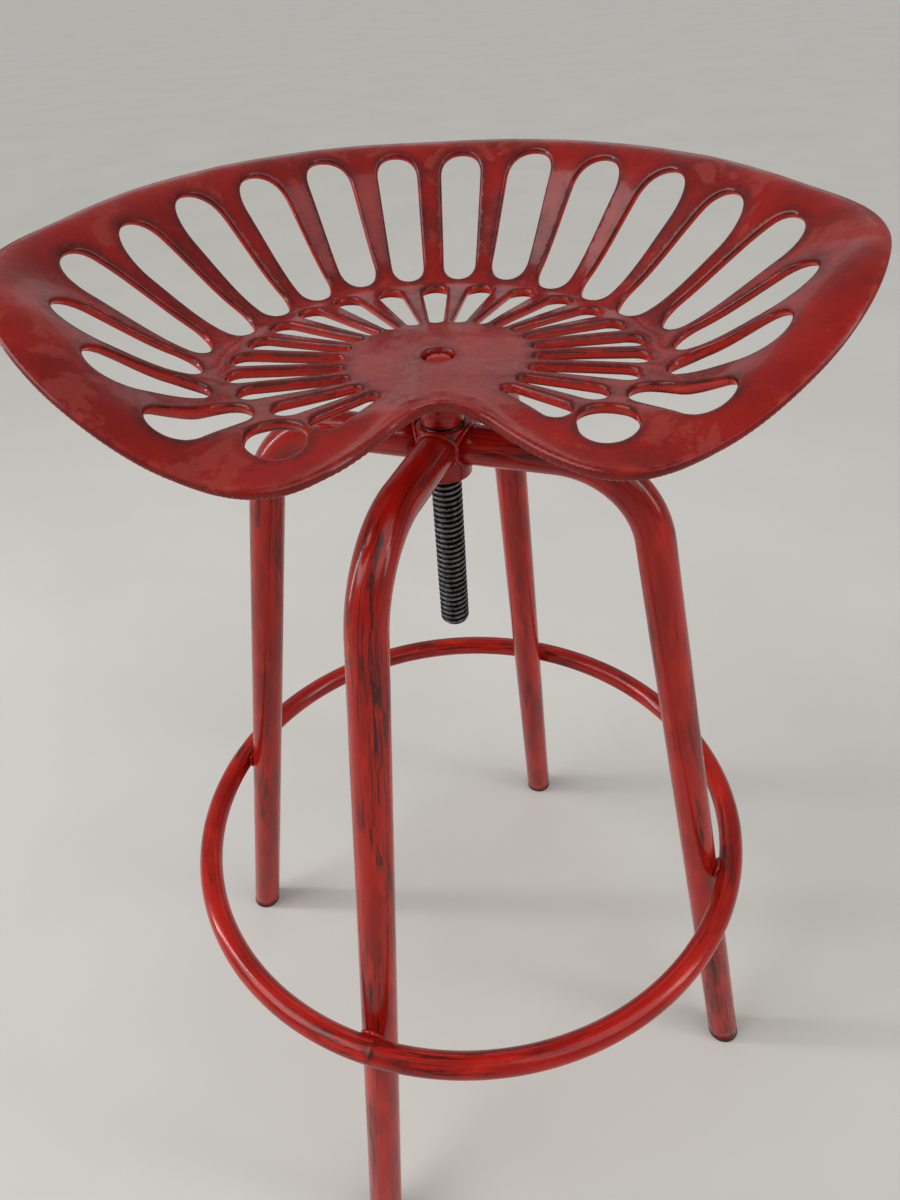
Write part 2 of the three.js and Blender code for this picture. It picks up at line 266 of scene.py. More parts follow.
def tube_paint():
    """Glossy red over tube, with dark brushed streaks along it."""
    s = Shader("antique_red_tube")
    along = s.attribute("along", "Vector")
    corner = s.attribute("corner")
    tone = s.noise(s.scaled(along, (60, 60, 14)), 1.0, 5)
    base = s.mix(s.band(tone, 0.36, 0.62), MID_RED, BRIGHT_RED)
    lighter = s.noise(s.scaled(along, (90, 90, 24)), 1.0, 3)
    base = s.mix(s.band(lighter, 0.5, 0.7, 0, 0.8), base, ORANGE_RED)
    fine = s.noise(s.scaled(along, (820, 820, 26)), 1.0, 6, 0.66, 0.12)
    broad = s.noise(s.scaled(along, (300, 300, 24)), 1.0, 7, 0.70, 0.35)
    where = s.noise(s.scaled(along, (60, 60, 9)), 1.0, 4, 0.55)
    gate = s.plus(where, s.band(corner, 0.0, 1.0, 0.0, 0.22))
    strokes = s.times(s.band(fine, 0.520, 0.580), s.band(gate, 0.46, 0.58))
    smears = s.times(s.band(broad, 0.535, 0.590), s.band(gate, 0.51, 0.60))
    specks = s.band(s.noise(s.scaled(along, (900, 900, 420)), 1.0, 2, 0.5), 0.68, 0.73)
    dark = s.larger(s.times(strokes, 0.80), s.times(smears, 0.88))
    dark = s.larger(dark, s.times(specks, 0.75))
    # darker where the corner mark is high: painted shade where legs and footrest ring face each other, and
    # darker paint near the hub, round the outside of each bend and at the ring's seam
    in_corner = s.times(s.band(corner, 0.30, 0.95, 0.0, 0.9), s.band(broad, 0.44, 0.56))
    dark = s.larger(dark, in_corner, True)
    s.set("Base Color", s.mix(dark, base, DARK_PATINA_AND_SHADE))
    uneven = s.noise(along, 260, 3, 0.5)
    gloss(s, s.plus(s.band(uneven, 0.3, 0.7, 0.17, 0.26), s.times(dark, 0.16)))
    skin = s.plus(s.times(s.noise(along, 420, 4, 0.55), 0.6), s.times(fine, 0.25))
    s.bump(skin, 0.30, 0.00020)
    return s.material


def cast_paint():
    """Glossy red over rough casting: dark in and round the slots, paler on the rim from wear and a painted
    highlight. Painted shade darkens the underside, painted light brightens the slot walls, and pale
    patches in the middle are powdery paint with a painted sheen.
    """
    s = Shader("antique_red_casting")
    here = s.place()
    edge = s.attribute("edge")
    rim = s.attribute("rim")
    under = s.attribute("under")
    cloud = s.noise(here, 16, 4, 0.6)
    base = s.mix(s.band(cloud, 0.36, 0.64), DEEP_RED, RED)
    base = s.mix(s.band(s.noise(here, 42, 5, 0.6), 0.55, 0.75, 0, 0.5), base, WARM_RED)
    # painted light: the slot walls, where the edge mark is small, made warmer and brighter
    base = s.mix(s.band(edge, 0.25, 0.7, 0.8, 0.0), base, ORANGE_RED)
    grain = s.noise(here, 340, 5, 0.62, 0.2)
    patch = s.noise(here, 70, 4, 0.6)
    # the middle of the seat, which is rougher and duller, with pale patches that are partly a painted
    # sheen
    plan = s.scaled(here, (1, 1, 0))
    middle = s.band(s.distance_from((0, -0.022, 0), plan), 0.055, 0.092, 1.0, 0.0)
    # the halo round each opening, and the thin line at the top of its wall
    halo = s.times(s.band(edge, 1.4, 8.5, 1.0, 0.0), s.band(edge, 0.4, 1.5, 0.15, 1.0))
    halo = s.times(halo, s.band(patch, 0.34, 0.60, 0.30, 1.0))
    halo = s.times(halo, s.band(grain, 0.36, 0.58, 0.45, 1.0))
    line = s.times(s.band(edge, 0.22, 0.45, 0.0, 1.0), s.band(edge, 0.75, 1.2, 1.0, 0.0))
    line = s.times(line, s.band(patch, 0.36, 0.56, 0.15, 0.95))
    scuffs = s.times(s.band(s.noise(here, 190, 6, 0.7, 0.6), 0.58, 0.68), s.band(patch, 0.46, 0.62))
    specks = s.band(s.noise(here, 760, 2, 0.5), 0.69, 0.75)
    sheen = s.noise(here, 20, 6, 0.66, 0.9)
    dark = s.larger(s.times(halo, 0.72), line)
    dark = s.larger(dark, s.times(scuffs, 0.6))
    dark = s.larger(dark, s.times(specks, 0.6))
    # painted shade: the underside darker in cloudy patches
    dark = s.larger(dark, s.times(under, s.band(cloud, 0.4, 0.7, 0.1, 0.6)), True)
    colour = s.mix(dark, base, DARK_PATINA_AND_SHADE)
    # paler along the rim: paint thinned by wear, and a painted highlight along the edge
    rubbed_and_highlight = s.times(rim, s.band(s.noise(here, 120, 5, 0.65), 0.42, 0.66, 0.0, 0.40))
    colour = s.mix(rubbed_and_highlight, colour, PALE_WEAR_AND_HIGHLIGHT)
    # pale patches in the middle: powdery paint, and partly a painted sheen
    dull_and_sheen = s.plus(sheen, s.times(middle, 0.07))
    chalky_and_sheen = s.times(s.band(dull_and_sheen, 0.57, 0.60), s.band(edge, 3.0, 9.0, 0.0, 0.40))
    colour = s.mix(chalky_and_sheen, colour, CHALKY_RED_AND_SHEEN)
    flakes = s.times(s.band(s.noise(here, 58, 5, 0.62, 1.2), 0.50, 0.53), middle)
    colour = s.mix(s.times(flakes, 0.55), colour, DEEP_RED)
    # fine scratches, a little paler, running all ways
    swirl = s.math("ABSOLUTE", s.math("SUBTRACT", s.noise(here, 34, 2, 0.4, 2.2), 0.5))
    scratch = s.times(s.band(swirl, 0.0, 0.006, 1.0, 0.0), s.band(sheen, 0.44, 0.58, 0.0, 0.35))
    colour = s.mix(scratch, colour, PALE_WEAR_AND_HIGHLIGHT)
    s.set("Base Color", colour)
    matt = s.band(dull_and_sheen, 0.53, 0.60, 0.0, 0.22)
    rough = s.plus(s.plus(s.band(patch, 0.3, 0.7, 0.20, 0.30), matt), s.times(dark, 0.12))
    gloss(s, s.math("SUBTRACT", rough, s.times(flakes, 0.12), True))
    # a faint round mark in the casting beside the bolt
    ring = s.distance_from((0.026, -0.020, 0), plan)
    ring = s.math("ABSOLUTE", s.math("SUBTRACT", ring, 0.0105))
    ring = s.band(ring, 0.0003, 0.0013, 1.0, 0.0)
    skin = s.plus(s.times(s.noise(here, 150, 5, 0.6), 0.8), s.times(grain, 0.25))
    skin = s.plus(skin, s.times(ring, 0.28))
    relief = s.times(s.band(s.noise(here, 88, 3, 0.5, 0.7), 0.49, 0.55), middle)
    skin = s.plus(skin, s.times(relief, 0.8))
    skin = s.plus(skin, s.times(s.noise(here, 48, 3, 0.5), 1.2))
    s.bump(skin, 0.5, 0.00055)
    return s.material


def part_paint():
    """The same red on the hub, boss, fins, bolt and weld beads."""
    s = Shader("antique_red_fittings")
    here = s.place()
    base = s.mix(s.band(s.noise(here, 60, 4), 0.36, 0.64), MID_RED, BRIGHT_RED)
    patch = s.noise(here, 150, 5, 0.65, 0.3)
    corner = s.attribute("corner")
    # dark patches, a few more near the ends of the hub and boss and at the fin roots, partly painted shade
    # where parts meet
    dark = s.band(s.plus(patch, s.times(corner, 0.06)), 0.58, 0.70, 0.0, 0.75)
    s.set("Base Color", s.mix(dark, base, DARK_PATINA_AND_SHADE))
    gloss(s, s.plus(s.band(patch, 0.3, 0.7, 0.18, 0.27), s.times(dark, 0.15)))
    s.bump(s.noise(here, 380, 4, 0.55), 0.35, 0.00025)
    return s.material


def screw_steel():
    s = Shader("oiled_black_steel")
    here = s.place()
    s.set("Metallic", 0.85)
    tone = s.noise(s.scaled(here, (1, 1, 0.35)), 320, 5, 0.6)
    crest = s.attribute("crest")
    base = s.mix(s.band(tone, 0.35, 0.7), (0.008, 0.008, 0.009, 1), (0.030, 0.030, 0.032, 1))
    # painted highlight: paler metal on the thread crests
    bright = s.times(s.band(crest, 0.80, 1.0), s.band(tone, 0.36, 0.60, 0.30, 0.9))
    s.set("Base Color", s.mix(bright, base, (0.20, 0.20, 0.21, 1)))
    s.set("Roughness", s.band(tone, 0.3, 0.7, 0.24, 0.42))
    s.bump(s.noise(here, 900, 3, 0.5), 0.3, 0.00012)
    return s.material


def zinc_steel():
    s = Shader("zinc_plated_steel")
    here = s.place()
    s.set("Metallic", 1.0)
    cells = s.node("ShaderNodeTexVoronoi", feature="F1")
    s.link(here, cells.inputs["Vector"])
    cells.inputs["Scale"].default_value = 420
    tone = s.band(cells.outputs["Distance"], 0.1, 0.7)
    s.set("Base Color", s.mix(tone, (0.47, 0.48, 0.5, 1), (0.33, 0.34, 0.36, 1)))
    s.set("Roughness", s.band(s.noise(here, 300, 4), 0.3, 0.7, 0.28, 0.46))
    s.bump(s.noise(here, 800, 3), 0.25, 0.0001)
    return s.material


def black_plastic():
    s = Shader("moulded_black_plastic")
    here = s.place()
    tone = s.noise(here, 520, 4, 0.6)
    s.set("Base Color", s.mix(s.band(tone, 0.35, 0.7), (0.007, 0.007, 0.008, 1), (0.022, 0.021, 0.020, 1)))
    s.set("Roughness", s.band(tone, 0.3, 0.7, 0.42, 0.62))
    s.bump(s.noise(here, 1500, 2), 0.4, 0.00012)
    return s.material


TUBE_RED = tube_paint()
CAST_RED = cast_paint()
PART_RED = part_paint()
SCREW_STEEL = screw_steel()
ZINC = zinc_steel()
PLASTIC = black_plastic()


# ---------------------------------------------------------------- seat

SEAT_TOP = 631.4
SEAT_T = 5.5
GRID_T = 6.5
CHEEK_T = 3.2
GRID_R = 124
BOWL_R = 124.4
BOWL_LEAN = 0.0143
RIM_ROLL = -0.34
RIM_STEP = 15
# the rim's radius and its height above the disc, every 15 degrees from the back
RIM_R = np.array([222.6, 222.3, 218.8, 217.1, 217, 223.6, 241.3, 231.8, 212.3, 186, 158.1, 93.6, 88.4])
RIM_Z = np.array([72.8, 73.6, 74.6, 74.7, 74.3, 71.6, 66, 57, 30.2, 2.4, -6.6, 2.4, 10.4])
RIM_TRIM = 0.6

# the inner slots' two ends: their angle from the back, and how far from the axis they reach
INNER_NEAR_ANGLE = [0, 14.5, 28.9, 42.5, 56.4, 70.9, 85.6, 100.5, 116, 131, 144.5]
INNER_FAR_ANGLE = [0, 15.4, 30.2, 44.6, 58.9, 73, 86, 98.4, 111, 127.3, 143]
INNER_FROM = [54, 54, 54.5, 55, 56, 56, 56, 56, 57, 58, 60]
INNER_TO = [124.2, 124.2, 124, 123.2, 121, 120, 122.5, 122, 118, 110, 106.5]
# the outer slots and the round hole: x, y and radius of the near end, then of the far end
OUTER_SLOTS = [
    (18.2, 143.8, 11, 22.4, 188.2, 13.8),
    (53.4, 137.3, 12.8, 69, 174.8, 15.2),
    (83.3, 116.4, 12.3, 110, 145.2, 16),
    (109.1, 90.2, 12.5, 143.5, 106.9, 17),
    (128.7, 58, 13.3, 168.3, 61.6, 16.6),
    (147.1, 21.9, 11.9, 193.4, 18.1, 13.9),
    (147.5, -9.2, 12, 183.9, -25.8, 16.6),
    (138.5, -40, 13, 162.5, -60, 15.5),
    (112.5, -68, 13.6, 130, -93, 14.3),
    (83, -92.8, 15, 83, -96.8, 15),
]


def turn_from_back(degrees):
    return np.abs((np.asarray(degrees, float) + 180) % 360 - 180)


def station(values, degrees):
    """Smooth value at an angle from the back, mirrored on both sides."""
    last = len(values) - 1
    turn = turn_from_back(degrees) / RIM_STEP
    whole = np.minimum(turn.astype(int), last - 1)
    t = turn - whole

    def at(i):
        return values[np.where(i < 0, -i, np.where(i > last, 2 * last - i, i))]

    a, b, c, d = (at(whole + k) for k in (-1, 0, 1, 2))
    cubic = (3 * b - a - 3 * c + d) * t**3
    square = (2 * a - 5 * b + 4 * c - d) * t**2
    return 0.5 * (2 * b + (c - a) * t + square + cubic)


def seat_surface(x, y):
    """The top surface over plan points."""
    r = np.hypot(x, y)
    degrees = np.degrees(np.arctan2(x, y))
    start = BOWL_R + (50 - BOWL_R) * smoothstep(turn_from_back(degrees), 115, 180)
    s = np.maximum(0, (r - start) / (station(RIM_R, degrees) - start))
    height = station(RIM_Z, degrees) * ((3 - RIM_ROLL) * s**2 + (RIM_ROLL - 2) * s**3)
    height = height - BOWL_LEAN * x * smoothstep(r, 56, 125)
    return np.stack([x + BOWL_LEAN * height, y, SEAT_TOP + height], -1)


def seat_normal(x, y):
    e = 0.4
    dx = seat_surface(x + e, y) - seat_surface(x - e, y)
    dy = seat_surface(x, y + e) - seat_surface(x, y - e)
    n = np.cross(dx, dy)
    return n / np.linalg.norm(n, axis=-1, keepdims=True)


def seat_thickness(x, y):
    r = np.hypot(x, y)
    turn = turn_from_back(np.degrees(np.arctan2(x, y)))
    beside = smoothstep(turn, 85, 108) * (1 - smoothstep(turn, 135, 160))
    cheek = beside * (1 - smoothstep(r, 138, 180))
    outer = smoothstep(r, GRID_R, 142)
    return GRID_T + (SEAT_T + CHEEK_T * cheek - GRID_T) * outer


def polar(r, degrees):
    a = math.radians(degrees)
    return r * math.sin(a), r * math.cos(a)


def seat_openings():
    """Tapered slots as (x, y, radius, x, y, radius, width of the rounded edge)."""
    slots = []
    for side in (-1, 1):
        for k, start in enumerate(INNER_FROM):
            if side < 0 and k == 0:
                continue
            near = polar(start + 4.1, side * INNER_NEAR_ANGLE[k])
            far = polar(INNER_TO[k] - 8.4, side * INNER_FAR_ANGLE[k])
            slots.append((*near, 4.1, *far, 8.4, 2.9))
        for ax, ay, ar, bx, by, br in OUTER_SLOTS:
            slots.append((side * ax, ay, ar, side * bx, by, br, 2.6))
    slots.append((0.01, 0, 9.5, -0.01, 0, 9.5, 1.6))
    return slots


def slot_distance(x, y, slot):
    ax, ay, ar, bx, by, br, _ = slot
    length = math.hypot(bx - ax, by - ay)
    ux, uy = (bx - ax) / length, (by - ay) / length
    along = (x - ax) * ux + (y - ay) * uy
    across = np.abs((y - ay) * ux - (x - ax) * uy)
    sine = (ar - br) / length
    cosine = math.sqrt(max(1e-9, 1 - sine * sine))
    c = along * cosine - across * sine
    side = across * cosine + along * sine - ar
    near = np.hypot(along, across) - ar
    far = np.hypot(along - length, across) - br
    return np.where(c < 0, near, np.where(c > length * cosine, far, side))


def slot_outline(slot, grow, spacing):
    ax, ay, ar, bx, by, br, _ = slot
    heading = math.atan2(by - ay, bx - ax)
    length = math.hypot(bx - ax, by - ay)
    spread = math.acos(max(-1, min(1, (ar - br) / length)))
    ends = []
    for cx, cy, r, low, high in (
        (ax, ay, ar + grow, heading + spread, heading + TAU - spread),
        (bx, by, br + grow, heading - spread, heading + spread),
    ):
        count = max(8, int(math.ceil(r * (high - low) / spacing)))
        a = np.linspace(low, high, count + 1)
        ends.append(np.stack([cx + r * np.cos(a), cy + r * np.sin(a)], -1))
    out = []
    for k in (0, 1):
        out.extend(ends[k])
        p, q = ends[k][-1], ends[1 - k][0]
        gap = np.linalg.norm(q - p)
        for t in np.linspace(0, 1, int(gap / (spacing * 1.3)) + 2)[1:-1]:
            out.append(p + (q - p) * t)
    return np.array(out)


def rim_at(degrees):
    """The rim's radius, and the factor from a distance across it to one along the radius."""
    rim = station(RIM_R, degrees) - RIM_TRIM
    slope = (station(RIM_R, degrees + 0.5) - station(RIM_R, degrees - 0.5)) / math.radians(1) / rim
    return rim, np.sqrt(1 + slope**2)


def rim_distance(x, y):
    rim, stretch = rim_at(np.degrees(np.arctan2(x, y)))
    return (rim - np.hypot(x, y)) / stretch


RIM_ROUND = 2.5
EDGE_POWER = 2.3


def seat_depth(x, y, slots):
    """How far in from the nearest edge, as a share of that edge's rounding, and in millimetres."""
    distance = rim_distance(x, y)
    share, rim_share = distance / RIM_ROUND, distance / RIM_ROUND
    for slot in slots:
        d = slot_distance(x, y, slot)
        share = np.minimum(share, d / slot[6])
        distance = np.minimum(distance, d)
    return share, distance, rim_share


def edge_slope(x, y, slots, normal, half, share):
    """The way in from the nearest edge along the surface, and how steeply the rounding climbs there."""
    e = 0.02
    across = (seat_depth(x + e, y, slots)[0] - seat_depth(x - e, y, slots)[0]) / (2 * e)
    ahead = (seat_depth(x, y + e, slots)[0] - seat_depth(x, y - e, slots)[0]) / (2 * e)
    rate = np.maximum(np.hypot(across, ahead), 1e-6)
    inward = np.stack([across / rate, ahead / rate, 0 * rate], -1)
    inward[:, 2] = -(inward * normal).sum(1) / normal[:, 2]
    length = np.linalg.norm(inward, axis=1)
    part = np.clip(share, 1e-5, 1)
    bulge = 1 - (1 - part) ** EDGE_POWER
    climb = bulge ** (1 / EDGE_POWER - 1) * (1 - part) ** (EDGE_POWER - 1)
    return inward / length[:, None], climb * half * rate / length


def set_edge_normals(obj, top, bottom, weight):
    """Exact normals where the weight is 1, the mesh's own where it is 0."""
    exact = np.concatenate([top, bottom])
    exact /= np.linalg.norm(exact, axis=1, keepdims=True)
    own = np.zeros(len(exact) * 3)
    obj.data.vertex_normals.foreach_get("vector", own)
    mixed = own.reshape(-1, 3) * (1 - weight[:, None]) + exact * weight[:, None]
    mixed /= np.linalg.norm(mixed, axis=1, keepdims=True)
    obj.data.normals_split_custom_set_from_vertices(mixed.tolist())


def build_seat():
    slots = seat_openings()
    loops, points, edges = [], [], []
    rings = (0.0, 0.07, 0.2, 0.42, 0.7, 1.0, 1.6)
    degrees = np.arange(-180, 180, 0.75)
    for share in rings:
        for slot in slots:
            spacing = 1.7 if share < 1 else 2.4
            loops.append((share, slot_outline(slot, share * slot[6], spacing)))
        rim, stretch = rim_at(degrees)
        r = rim - share * RIM_ROUND * stretch
        a = np.radians(degrees)
        loops.append((share, np.stack([r * np.sin(a), r * np.cos(a)], -1)))
    for share, loop in loops:
        if share == 0:
            first = len(points)
            points.extend(loop.tolist())
            count = len(loop)
            edges.extend((first + i, first + (i + 1) % count) for i in range(count))
            continue
        kept = seat_depth(loop[:, 0], loop[:, 1], slots)[0] > share - 0.04
        points.extend(loop[kept].tolist())
    step = 4.2
    gx, gy = np.meshgrid(np.arange(-246, 246, step), np.arange(-200, 230, step * 0.866))
    gx = gx + (np.arange(gx.shape[0]) % 2)[:, None] * step / 2
    grid = np.stack([gx.ravel(), gy.ravel()], -1)
    depth = seat_depth(grid[:, 0], grid[:, 1], slots)
    grid = grid[(depth[0] > 1.9) & (depth[1] > 3.5)]
    points.extend(grid.tolist())
    made = delaunay_2d_cdt([Vector(p) for p in points], edges, [], 0, 1e-5)
    plan = np.array([[v.x, v.y] for v in made[0]])
    triangles = np.array([f for f in made[2] if len(f) == 3])
    centre = plan[triangles].mean(1)
    triangles = triangles[seat_depth(centre[:, 0], centre[:, 1], slots)[1] > 0]
    a, b, c = (plan[triangles[:, k]] for k in range(3))
    area = (b[:, 0] - a[:, 0]) * (c[:, 1] - a[:, 1]) - (b[:, 1] - a[:, 1]) * (c[:, 0] - a[:, 0])
    triangles = triangles[np.abs(area) > 1e-7]
    area = area[np.abs(area) > 1e-7]
    triangles[area < 0] = triangles[area < 0][:, ::-1]
    used = np.unique(triangles)
    index = -np.ones(len(plan), int)
    index[used] = np.arange(len(used))
    plan, triangles = plan[used], index[triangles]

    x, y = plan[:, 0], plan[:, 1]
    share, distance, rim_share = seat_depth(x, y, slots)
    near_edge = 1 - smoothstep(share, 0.75, 1.3)
    share = np.where(share < 0.02, 0, np.clip(share, 0, 1))
    full = (1 - (1 - share) ** EDGE_POWER) ** (1 / EDGE_POWER)
    surface, normal = seat_surface(x, y), seat_normal(x, y)
    half = seat_thickness(x, y) / 2
    cast = 0.16 * ripple(surface, 42, 3) + 0.07 * ripple(surface, 17, 4)
    cast = cast * smoothstep(share, 0.5, 1)
    top = surface - normal * (half * (1 - full))[:, None] + normal * (cast - 0.2)[:, None]
    bottom = surface - normal * (half * (1 + full))[:, None]
    edge = share == 0
    top[edge] = bottom[edge] = (surface - normal * half[:, None])[edge]
    below = np.where(edge, np.arange(len(top)), len(top) + np.cumsum(~edge) - 1)
    verts = np.concatenate([top, bottom[~edge]])
    faces = [tuple(t) for t in triangles.tolist()]
    faces += [tuple(t[::-1]) for t in below[triangles].tolist()]
    # dark paint lies round the slots only, so the rim counts as lying well inside them
    marked = np.where(rim_share * RIM_ROUND <= distance + 1e-6, distance + 4.5, distance)
    # the rim band that is painted paler: wear, and a painted highlight along the edge
    worn_and_highlit_rim = smoothstep(rim_share, 0.15, 0.5) * (1 - smoothstep(rim_share, 1.0, 1.9))
    attributes = {
        "edge": np.concatenate([marked, marked[~edge]]),
        "rim": np.concatenate([worn_and_highlit_rim, 0 * distance[~edge]]),
        "under": np.concatenate([0 * distance, 1 + 0 * distance[~edge]]),
    }
    shell = piece("seat_shell", verts, faces, "seat_assembly", CAST_RED, ["seat"], attributes)
    inward, climb = edge_slope(x, y, slots, normal, half, share)
    over, under = normal - inward * climb[:, None], -normal - inward * climb[:, None]
    over[edge] = under[edge] = -inward[edge]
    set_edge_normals(shell, over, under[~edge], np.concatenate([near_edge, near_edge[~edge]]))


build_seat()

# ---------------------------------------------------------------- under the seat

GRID_BOTTOM = SEAT_TOP - GRID_T
BOSS_TOP = GRID_BOTTOM - 0.3
SCREW_TOP = BOSS_TOP - 6
WASHER_TOP = BOSS_TOP + 1.5
SCREW_BOTTOM = 435
HUB_BOTTOM = 554
HUB_TOP = 588
BOSS_BOTTOM = HUB_TOP + 0.8


def near_corner(verts, heights, reach=5):
    z = np.asarray(verts)[:, 2]
    return np.clip(sum(np.exp(-(((z - h) / reach) ** 2)) for h in heights), 0, 1)


def build_under_seat():
    body = "seat_assembly"
    bore, socket, collar = 5.3, 10.3, 13.4
    boss = [(bore, BOSS_TOP), (bore, SCREW_TOP + 0.3), (socket, SCREW_TOP + 0.3), (socket, BOSS_BOTTOM)]
    boss += [(collar, BOSS_BOTTOM), (collar, BOSS_BOTTOM + 7), (12.8, BOSS_BOTTOM + 9)]
    boss += [(12.8, BOSS_TOP - 4)]
    boss += [(14, BOSS_TOP - 1), (14, BOSS_TOP)]
    verts, faces = turned(softened(boss[::-1], 1.2), 72)
    marks = {"corner": near_corner(verts, (BOSS_BOTTOM, BOSS_TOP))}
    faces = [f[::-1] for f in faces]
    piece("seat_boss_turned", verts, faces, body, PART_RED, ["seat_boss"], marks)

    washer = [(bore, BOSS_TOP + 0.3), (8.8, BOSS_TOP + 0.3), (8.8, WASHER_TOP), (bore, WASHER_TOP)]
    verts, faces = turned(softened(washer, 0.3), 64)
    piece("seat_washer_stamped", verts, faces, "lift", ZINC, ["seat_washer"])

    head = WASHER_TOP + 0.3
    bolt = [(0.02, SCREW_TOP - 22), (3.7, SCREW_TOP - 22), (4.7, SCREW_TOP - 21), (4.7, head), (8.2, head)]
    bolt += [(8.2, head + 1.0)]
    bolt += [(8.2 * math.cos(a), head + 1.0 + 3.2 * math.sin(a)) for a in np.linspace(0.12, 1.5, 14)]
    bolt += [(0.02, head + 4.2)]
    verts, faces = turned(bolt, 64, closed=False)
    piece("seat_bolt_domed", verts, faces, body, PART_RED, ["seat_bolt"])

    for k, place in enumerate(("back_left", "back_right", "front_right", "front_left")):
        build_fin("seat_gusset_" + place, 45 + 90 * k)
    build_spindle()


def build_fin(node, degrees):
    """A rounded fin from halfway up the boss to the underside of the disc."""
    root, tip = 14.3, 48
    outline = [(root, 0.0), (tip, 0.0), (tip, -3.6)]
    t = np.linspace(0, 1, 12)[1:]
    far, middle, near = np.array([[tip, -3.8], [22, -5], [root, -21]])
    bend = [(1 - s) ** 2 * far + 2 * s * (1 - s) * middle + s * s * near for s in t]
    outline = np.array(softened(outline + bend, 1.4, 3))
    centre = outline.mean(0)
    rows = []
    for inset, depth in ((1.0, 2.5), (0.45, 2.35), (0.12, 2.0), (0, 1.4)):
        inner = centre + (outline - centre) * (1 - inset * 0.09)
        rows.append(np.column_stack([inner[:, 0], np.full(len(inner), -depth), inner[:, 1]]))
    for row in rows[::-1]:
        flipped = row.copy()
        flipped[:, 1] *= -1
        rows.append(flipped)
    verts = np.concatenate(rows)
    verts[:, 0] = np.maximum(verts[:, 0], root)
    marks = {"corner": np.exp(-(((verts[:, 0] - root) / 5) ** 2))}
    verts[:, 2] += BOSS_TOP
    place = spun(verts, degrees)
    faces = capped(len(rows), len(outline))
    piece(node + "_cast", place, faces, "seat_assembly", PART_RED, [node], marks)


def build_spindle():
    """Trapezoidal right-hand thread, 20 mm across with a 4 mm pitch, and a rounded foot."""
    pitch, columns = 4.0, 72
    foot_top = SCREW_BOTTOM + 3
    z = [*np.arange(SCREW_BOTTOM, foot_top, 0.2), *np.arange(foot_top, SCREW_TOP, 0.36), SCREW_TOP]
    angle = TAU * np.arange(columns) / columns
    zz, aa = np.meshgrid(z, angle, indexing="ij")
    phase = np.abs((zz / pitch - aa / TAU) % 1 - 0.5) * 2
    crest = smoothstep(phase, 0.30, 0.62)
    r = 7.9 + 2.02 * crest + 0.06 * np.sin(zz * 1.7 + 2 * aa) * crest - 0.06
    up = np.clip((zz - SCREW_BOTTOM) / 5, 0, 1)
    foot = 5 + 4.95 * np.sqrt(np.maximum(0, 1 - (1 - up) ** 2))
    r = np.minimum(r, foot)
    verts = np.stack([r * np.cos(aa), r * np.sin(aa), zz], -1).reshape(-1, 3)
    marks = {"crest": crest.ravel()}
    faces = capped(len(z), columns)
    piece("spindle_threaded", verts, faces, "seat_assembly", SCREW_STEEL, ["spindle"], marks)


build_under_seat()

# ---------------------------------------------------------------- base

HUB_R = 16.85
HUB_BORE_R = 12.6
LEG_R = 12.5
LEG_TILT = math.radians(11.3)
LEG_START = 17
LEG_BEND = 64
LEG_RUN_Z = 575
LEG_AZIMUTH = -21
FOOT_RADIUS = 239
GLIDE_T = 4
RING_Z = 228.8
RING_R = 9
LEGS = ("left", "back", "right", "front")


def leg_radius_at(z):
    return FOOT_RADIUS - z * math.tan(LEG_TILT)


RING_RADIUS = leg_radius_at(RING_Z) + (LEG_R + RING_R + 0.45) / math.cos(LEG_TILT)
LEG_TURN = math.pi / 2 - LEG_TILT
BEND_X = leg_radius_at(LEG_RUN_Z) - LEG_BEND * math.tan(LEG_TURN / 2)


def leg_stations():
    """Middle and direction of the tube in its own upright plane, with the length so far."""
    out = [(x, LEG_RUN_Z, 0.0) for x in np.linspace(LEG_START, BEND_X, 10)[:-1]]
    for a in np.linspace(0, LEG_TURN, 36):
        out.append((BEND_X + LEG_BEND * math.sin(a), LEG_RUN_Z - LEG_BEND * (1 - math.cos(a)), a))
    low = LEG_RUN_Z - LEG_BEND * (1 - math.cos(LEG_TURN))
    for z in np.linspace(low, GLIDE_T, 60)[1:]:
        out.append((leg_radius_at(z), z, LEG_TURN))
    return np.array(out)


